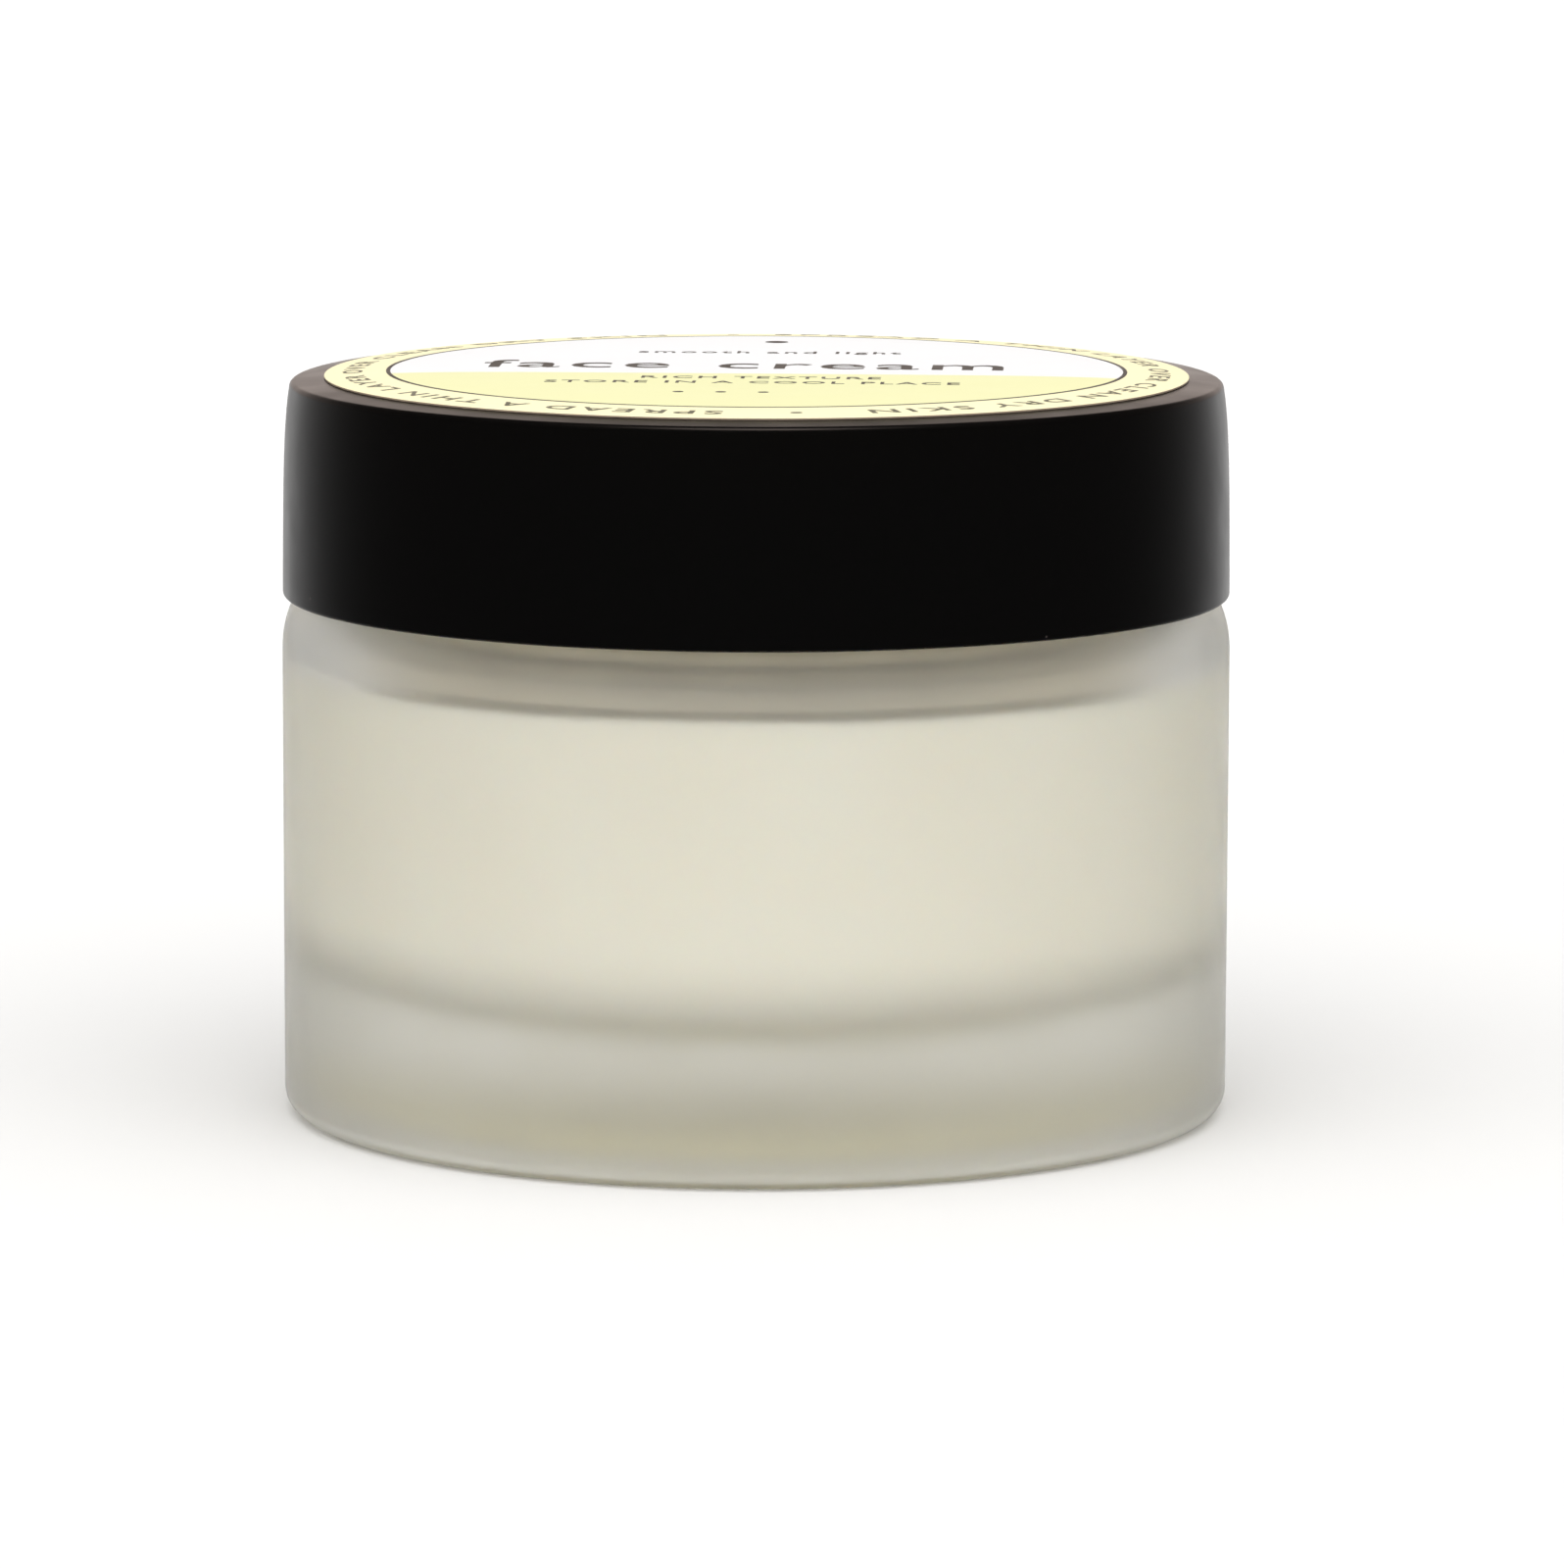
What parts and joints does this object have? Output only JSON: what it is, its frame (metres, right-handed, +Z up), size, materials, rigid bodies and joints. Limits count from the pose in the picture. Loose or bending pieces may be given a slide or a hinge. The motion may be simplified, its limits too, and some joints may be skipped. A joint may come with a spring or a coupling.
{
  "type": "cosmetic cream jar",
  "caption": "Round frosted glass cream jar with a thick base, screw neck, black screw lid with liner and inner cap, sealing disc, cream filling and round labels.",
  "frame": {"origin": "centre of the foot ring, on the surface the jar stands on", "axes": "+Z up along the jar's axis, which is also the thread's axis; +X and +Y are arbitrary, with the label read from -Y"},
  "size_m": [0.064, 0.064, 0.0503],
  "materials": {
    "frosted_glass": "acid-etched frosted outside, clear inside, faint warm grey tint",
    "cream": "soft ivory cream with a satin surface",
    "disc_plastic": "translucent white moulded polyethylene",
    "liner_foam": "white expanded foam sheet",
    "cap_plastic": "natural white moulded polypropylene",
    "black_satin": "satin black moulded plastic with fine grain",
    "label_paper": "coated label, white and pale yellow print",
    "base_label_paper": "coated pale yellow label"
  },
  "bodies": {
    "jar": {"glass_jar": "frosted_glass", "cream": "cream", "base_label": "base_label_paper"},
    "disc": {"sealing_disc": "disc_plastic"},
    "liner": {"liner_wad": "liner_foam"},
    "lid": {"lid_outer_shell": "black_satin", "lid_inner_cap": "cap_plastic", "top_label": "label_paper"}
  },
  "joints": [
    {"name": "disc_lift", "type": "slide", "parent": "jar", "child": "disc", "axis": [0, 0, 1], "range_m": [0, 0.006]},
    {"name": "lid_rise", "type": "slide", "parent": "jar", "child": "liner", "axis": [0, 0, 1], "range_m": [0, 0.02001]},
    {"name": "lid_turn", "type": "hinge", "parent": "liner", "child": "lid", "pos_m": [0, 0, 0.0351], "axis": [0, 0, 1], "range_deg": [0, 900]}
  ],
  "couplings": [
    {"joint": "lid_rise", "follows": "lid_turn", "m_per_rad": 0.0012732},
    {"joint": "disc_lift", "follows": "lid_turn", "m_per_rad": 0.00038}
  ]
}
